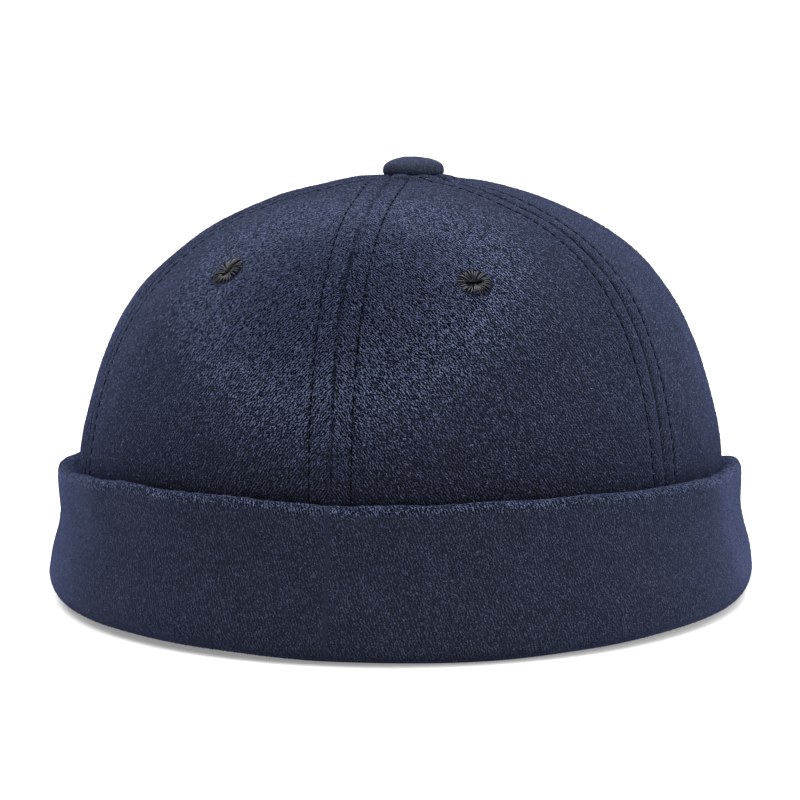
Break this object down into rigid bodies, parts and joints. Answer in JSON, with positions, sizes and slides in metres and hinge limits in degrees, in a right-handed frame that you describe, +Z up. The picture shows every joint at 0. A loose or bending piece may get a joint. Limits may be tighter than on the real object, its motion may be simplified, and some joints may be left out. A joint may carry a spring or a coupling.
{
  "type": "wool docker cap",
  "caption": "Brimless wool docker cap with a round panelled crown, covered button, air eyelets and a deep turned-up cuff.",
  "frame": {"origin": "centre of the cap's bounding box at the surface it stands on", "axes": "+Z up, the front seam faces -Y, +X to the right seen from the front"},
  "size_m": [0.1952, 0.2168, 0.1212],
  "materials": {
    "wool_cloth": "navy napped wool twill with a mottled lighter blue fibre",
    "button_cloth": "the same navy wool, pulled smooth over the button",
    "thread": "black embroidery thread with a slight sheen",
    "post_metal": "plain satin steel"
  },
  "bodies": {
    "root": {"crown_panel_1": "wool_cloth", "crown_panel_2": "wool_cloth", "crown_panel_3": "wool_cloth", "crown_panel_4": "wool_cloth", "crown_panel_5": "wool_cloth", "crown_panel_6": "wool_cloth", "cuff": "wool_cloth", "button": "button_cloth", "button_post": "post_metal", "eyelet_1": "thread", "eyelet_2": "thread"}
  },
  "joints": []
}
